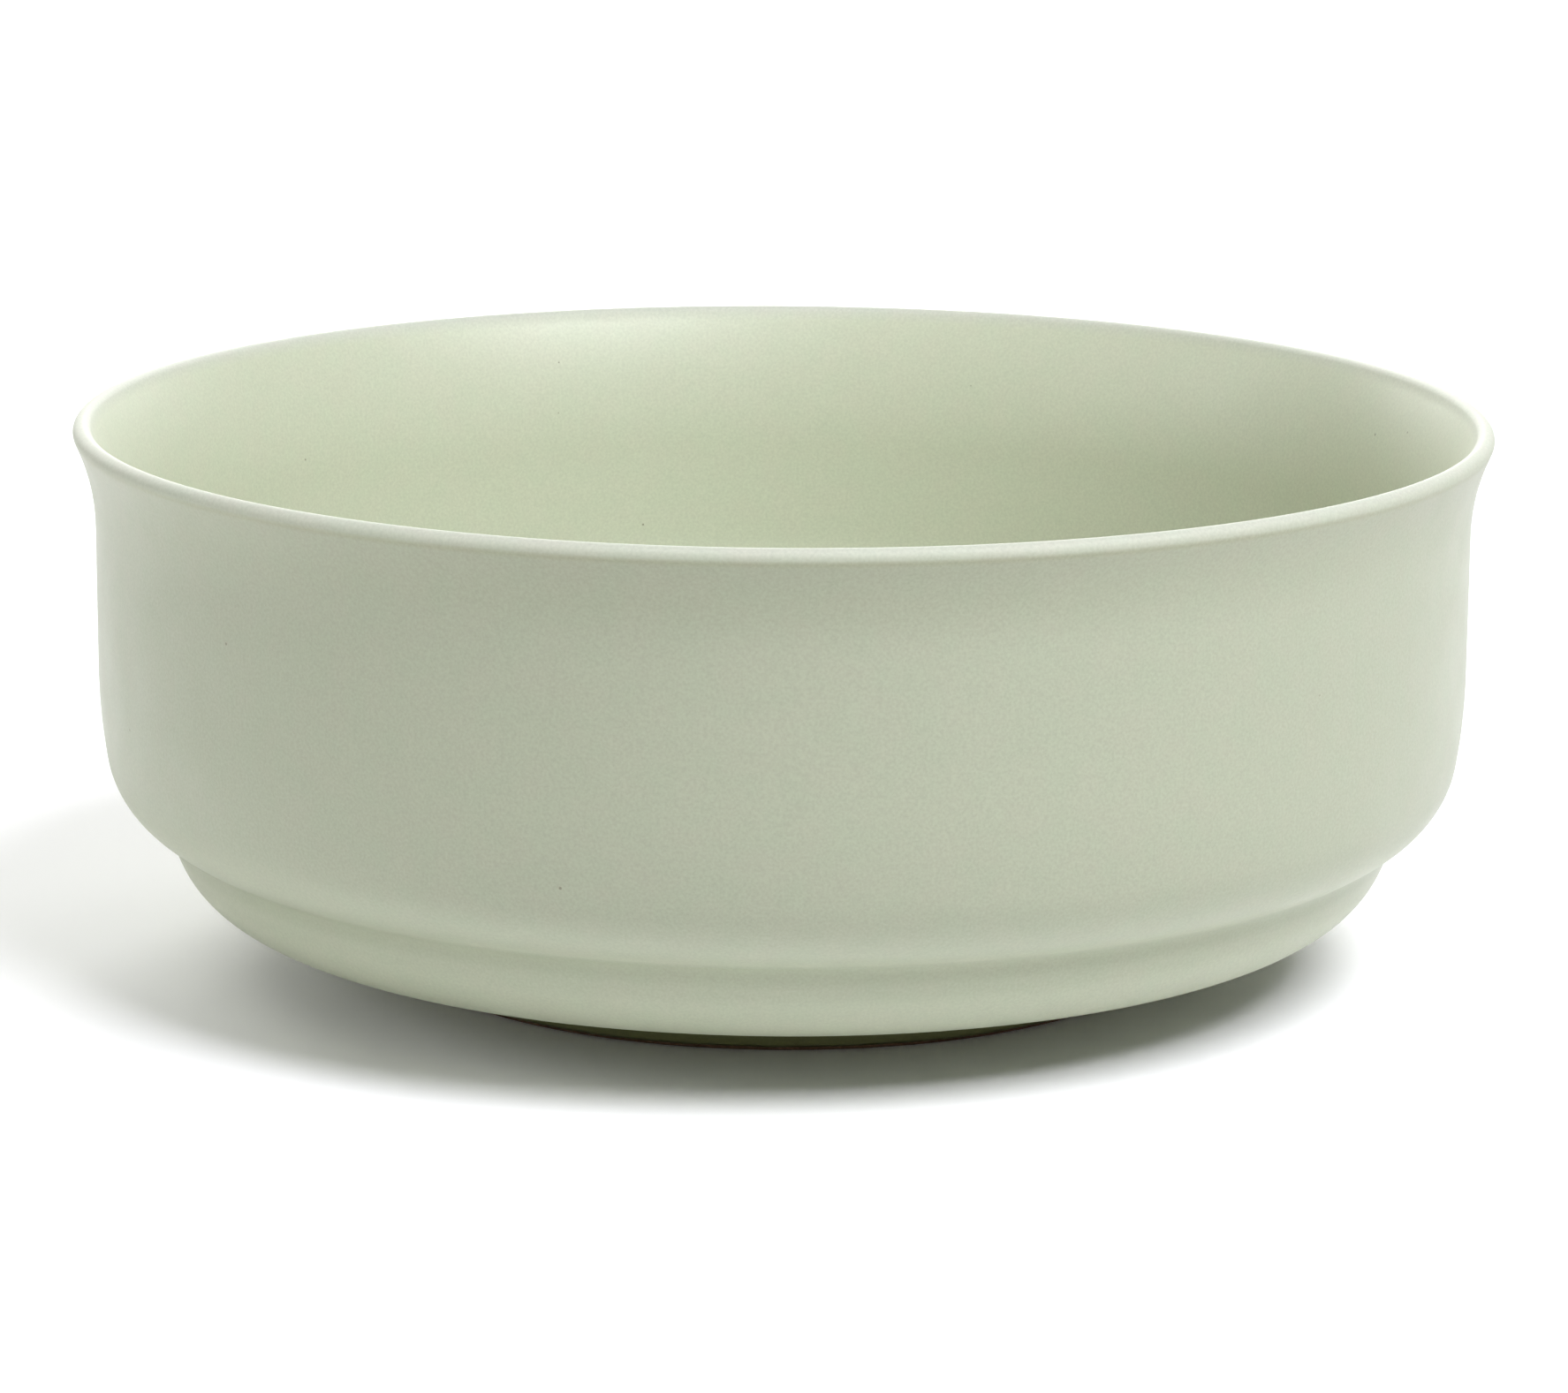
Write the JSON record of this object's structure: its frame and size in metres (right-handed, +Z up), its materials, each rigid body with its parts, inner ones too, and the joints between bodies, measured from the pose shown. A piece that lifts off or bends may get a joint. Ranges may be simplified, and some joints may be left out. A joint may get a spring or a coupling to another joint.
{
  "type": "matcha bowl",
  "caption": "Wide, low stoneware tea bowl with a flared lip, a stepped shoulder and a short foot ring, satin green glaze inside and out.",
  "frame": {"origin": "middle of the ring on which the bowl stands, at table height", "axes": "+Z up along the bowl's axis, from the table to the rim; the bowl is turned, so X and Y may point any way"},
  "size_m": [0.15, 0.15, 0.0583],
  "materials": {
    "clay": "fired stoneware clay under the glaze, warm buff brown, matte",
    "bare_clay": "bare fired stoneware at the foot, warm orange brown, dry and slightly gritty",
    "outer_glaze": "pale sage green glaze, satin matte, very fine speckle with faint pink and green clouding",
    "inner_glaze": "pale sage green glaze, satin matte, the same glaze as outside",
    "underside_glaze": "sage green glaze, satin matte, a little thicker and darker under the floor"
  },
  "bodies": {
    "root": {"bowl_body": "clay", "foot_ring": "bare_clay", "outer_glaze": "outer_glaze", "inner_glaze": "inner_glaze", "underside_glaze": "underside_glaze"}
  },
  "joints": []
}
